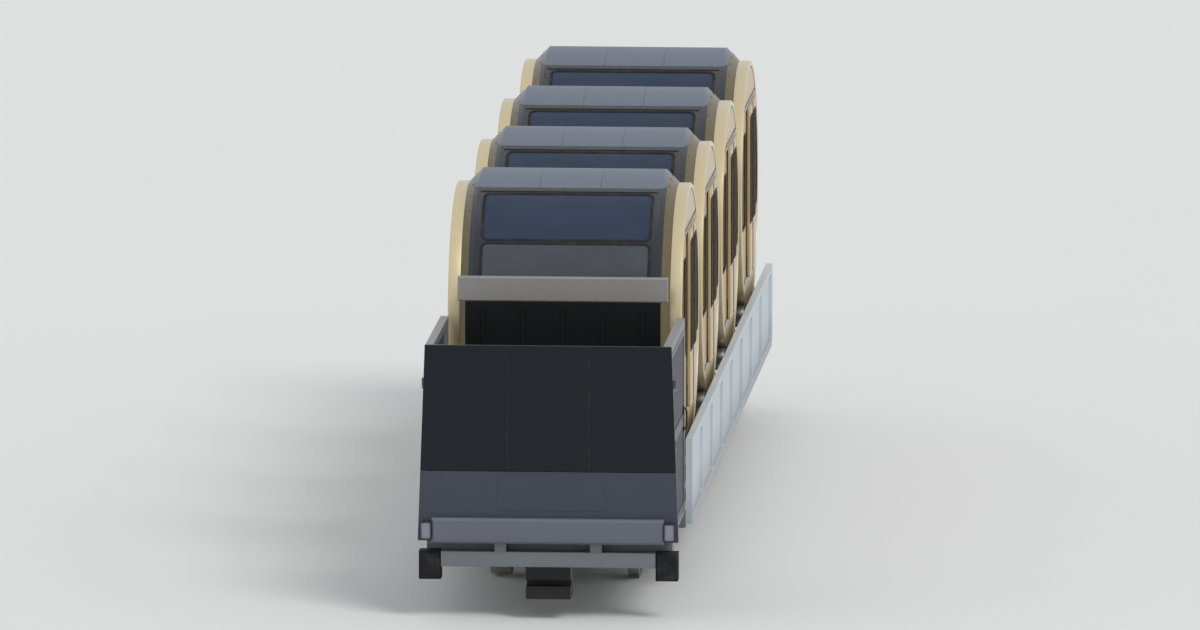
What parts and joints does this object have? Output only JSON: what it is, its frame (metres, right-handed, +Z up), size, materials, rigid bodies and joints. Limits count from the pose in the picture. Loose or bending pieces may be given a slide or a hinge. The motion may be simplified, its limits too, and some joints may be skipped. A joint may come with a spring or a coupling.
{
  "type": "funicular car with drum-shaped self-levelling cabins",
  "caption": "Rail funicular car: drum-shaped cabins that turn on cross axes to stay level, sliding double doors, goods box at the downhill end, two-axle bogies.",
  "frame": {"origin": "on the floor under the wheel flanges, at the centre of the bounding box", "axes": "+Y uphill along the track, +X to the right seen from the downhill end, +Z up"},
  "size_m": [2.92, 16.84, 4.5197],
  "materials": {
    "roof_paint": "satin",
    "gold_paint": "satin metallic",
    "dark_glass": "tinted",
    "cabin_grey": "matt",
    "door_gold": "satin metallic",
    "bogie_grey": "satin",
    "wheel_steel": "turned",
    "frame_grey": "satin",
    "beam_grey": "satin",
    "deck_plate": "ribbed",
    "front_slate": "gloss",
    "front_black": "gloss",
    "bumper_grey": "satin",
    "post_grey": "satin",
    "gate_grey": "satin",
    "headboard_dark": "satin",
    "lamp_lens": "clear",
    "black_rubber": "matt",
    "black_paint": "satin"
  },
  "bodies": {
    "chassis": {"girders": "frame_grey", "cross_beams": "frame_grey", "side_beams": "beam_grey", "support_rollers": "wheel_steel", "roller_stands": "frame_grey", "goods_deck": "deck_plate", "front_panel_upper": "front_black", "front_panel_lower": "front_slate", "bumper": "bumper_grey", "box_posts": "post_grey", "headboard": "headboard_dark", "headboard_beam": "beam_grey", "end_lamps": "lamp_lens", "corner_buffers": "black_rubber", "front_block": "black_paint", "rope_anchor": "wheel_steel"},
    "drum_1": {"drum_1_shell": "roof_paint", "drum_1_rims": "gold_paint", "drum_1_discs": "gold_paint", "drum_1_glazing": "dark_glass", "drum_1_cabin": "cabin_grey"},
    "door_1_right_down": {"door_1_right_down": "door_gold"},
    "door_1_right_up": {"door_1_right_up": "door_gold"},
    "door_1_left_down": {"door_1_left_down": "door_gold"},
    "door_1_left_up": {"door_1_left_up": "door_gold"},
    "drum_2": {"drum_2_shell": "roof_paint", "drum_2_rims": "gold_paint", "drum_2_discs": "gold_paint", "drum_2_glazing": "dark_glass", "drum_2_cabin": "cabin_grey"},
    "door_2_right_down": {"door_2_right_down": "door_gold"},
    "door_2_right_up": {"door_2_right_up": "door_gold"},
    "door_2_left_down": {"door_2_left_down": "door_gold"},
    "door_2_left_up": {"door_2_left_up": "door_gold"},
    "drum_3": {"drum_3_shell": "roof_paint", "drum_3_rims": "gold_paint", "drum_3_discs": "gold_paint", "drum_3_glazing": "dark_glass", "drum_3_cabin": "cabin_grey"},
    "door_3_right_down": {"door_3_right_down": "door_gold"},
    "door_3_right_up": {"door_3_right_up": "door_gold"},
    "door_3_left_down": {"door_3_left_down": "door_gold"},
    "door_3_left_up": {"door_3_left_up": "door_gold"},
    "drum_4": {"drum_4_shell": "roof_paint", "drum_4_rims": "gold_paint", "drum_4_discs": "gold_paint", "drum_4_glazing": "dark_glass", "drum_4_cabin": "cabin_grey"},
    "door_4_right_down": {"door_4_right_down": "door_gold"},
    "door_4_right_up": {"door_4_right_up": "door_gold"},
    "door_4_left_down": {"door_4_left_down": "door_gold"},
    "door_4_left_up": {"door_4_left_up": "door_gold"},
    "bogie_1": {"bogie_1_frame": "bogie_grey"},
    "wheelset_1": {"wheelset_1": "wheel_steel"},
    "wheelset_2": {"wheelset_2": "wheel_steel"},
    "bogie_2": {"bogie_2_frame": "bogie_grey"},
    "wheelset_3": {"wheelset_3": "wheel_steel"},
    "wheelset_4": {"wheelset_4": "wheel_steel"},
    "gate_right": {"gate_right": "gate_grey"},
    "gate_left": {"gate_left": "gate_grey"}
  },
  "joints": [
    {"name": "level_1", "type": "hinge", "parent": "chassis", "child": "drum_1", "pos_m": [0, -4.21, 2.87], "axis": [1, 0, 0], "range_deg": [-48, 5]},
    {"name": "slide_1_right_down", "type": "slide", "parent": "drum_1", "child": "door_1_right_down", "axis": [0, -1, 0], "range_m": [0, 0.545]},
    {"name": "slide_1_right_up", "type": "slide", "parent": "drum_1", "child": "door_1_right_up", "axis": [0, 1, 0], "range_m": [0, 0.545]},
    {"name": "slide_1_left_down", "type": "slide", "parent": "drum_1", "child": "door_1_left_down", "axis": [0, -1, 0], "range_m": [0, 0.545]},
    {"name": "slide_1_left_up", "type": "slide", "parent": "drum_1", "child": "door_1_left_up", "axis": [0, 1, 0], "range_m": [0, 0.545]},
    {"name": "level_2", "type": "hinge", "parent": "chassis", "child": "drum_2", "pos_m": [0, -0.71, 2.87], "axis": [1, 0, 0], "range_deg": [-48, 5]},
    {"name": "slide_2_right_down", "type": "slide", "parent": "drum_2", "child": "door_2_right_down", "axis": [0, -1, 0], "range_m": [0, 0.545]},
    {"name": "slide_2_right_up", "type": "slide", "parent": "drum_2", "child": "door_2_right_up", "axis": [0, 1, 0], "range_m": [0, 0.545]},
    {"name": "slide_2_left_down", "type": "slide", "parent": "drum_2", "child": "door_2_left_down", "axis": [0, -1, 0], "range_m": [0, 0.545]},
    {"name": "slide_2_left_up", "type": "slide", "parent": "drum_2", "child": "door_2_left_up", "axis": [0, 1, 0], "range_m": [0, 0.545]},
    {"name": "level_3", "type": "hinge", "parent": "chassis", "child": "drum_3", "pos_m": [0, 2.79, 2.87], "axis": [1, 0, 0], "range_deg": [-48, 5]},
    {"name": "slide_3_right_down", "type": "slide", "parent": "drum_3", "child": "door_3_right_down", "axis": [0, -1, 0], "range_m": [0, 0.545]},
    {"name": "slide_3_right_up", "type": "slide", "parent": "drum_3", "child": "door_3_right_up", "axis": [0, 1, 0], "range_m": [0, 0.545]},
    {"name": "slide_3_left_down", "type": "slide", "parent": "drum_3", "child": "door_3_left_down", "axis": [0, -1, 0], "range_m": [0, 0.545]},
    {"name": "slide_3_left_up", "type": "slide", "parent": "drum_3", "child": "door_3_left_up", "axis": [0, 1, 0], "range_m": [0, 0.545]},
    {"name": "level_4", "type": "hinge", "parent": "chassis", "child": "drum_4", "pos_m": [0, 6.29, 2.87], "axis": [1, 0, 0], "range_deg": [-48, 5]},
    {"name": "slide_4_right_down", "type": "slide", "parent": "drum_4", "child": "door_4_right_down", "axis": [0, -1, 0], "range_m": [0, 0.545]},
    {"name": "slide_4_right_up", "type": "slide", "parent": "drum_4", "child": "door_4_right_up", "axis": [0, 1, 0], "range_m": [0, 0.545]},
    {"name": "slide_4_left_down", "type": "slide", "parent": "drum_4", "child": "door_4_left_down", "axis": [0, -1, 0], "range_m": [0, 0.545]},
    {"name": "slide_4_left_up", "type": "slide", "parent": "drum_4", "child": "door_4_left_up", "axis": [0, 1, 0], "range_m": [0, 0.545]},
    {"name": "rock_1", "type": "hinge", "parent": "chassis", "child": "bogie_1", "pos_m": [0, -4.21, 0.45], "axis": [1, 0, 0], "range_deg": [-5, 5]},
    {"name": "axle_1", "type": "hinge", "parent": "bogie_1", "child": "wheelset_1", "pos_m": [0, -5.06, 0.32], "axis": [1, 0, 0], "continuous": true},
    {"name": "axle_2", "type": "hinge", "parent": "bogie_1", "child": "wheelset_2", "pos_m": [0, -3.36, 0.32], "axis": [1, 0, 0], "continuous": true},
    {"name": "rock_2", "type": "hinge", "parent": "chassis", "child": "bogie_2", "pos_m": [0, 6.29, 0.45], "axis": [1, 0, 0], "range_deg": [-5, 5]},
    {"name": "axle_3", "type": "hinge", "parent": "bogie_2", "child": "wheelset_3", "pos_m": [0, 5.44, 0.32], "axis": [1, 0, 0], "continuous": true},
    {"name": "axle_4", "type": "hinge", "parent": "bogie_2", "child": "wheelset_4", "pos_m": [0, 7.14, 0.32], "axis": [1, 0, 0], "continuous": true},
    {"name": "gate_right_hinge", "type": "hinge", "parent": "chassis", "child": "gate_right", "pos_m": [1.402, -8.16, 2], "axis": [0, 0, -1], "range_deg": [0, 95]},
    {"name": "gate_left_hinge", "type": "hinge", "parent": "chassis", "child": "gate_left", "pos_m": [-1.402, -8.16, 2], "axis": [0, 0, 1], "range_deg": [0, 95]}
  ],
  "couplings": [
    {"joint": "slide_1_right_up", "follows": "slide_1_right_down", "ratio": 1},
    {"joint": "slide_1_left_up", "follows": "slide_1_left_down", "ratio": 1},
    {"joint": "slide_2_right_up", "follows": "slide_2_right_down", "ratio": 1},
    {"joint": "slide_2_left_up", "follows": "slide_2_left_down", "ratio": 1},
    {"joint": "slide_3_right_up", "follows": "slide_3_right_down", "ratio": 1},
    {"joint": "slide_3_left_up", "follows": "slide_3_left_down", "ratio": 1},
    {"joint": "slide_4_right_up", "follows": "slide_4_right_down", "ratio": 1},
    {"joint": "slide_4_left_up", "follows": "slide_4_left_down", "ratio": 1}
  ]
}
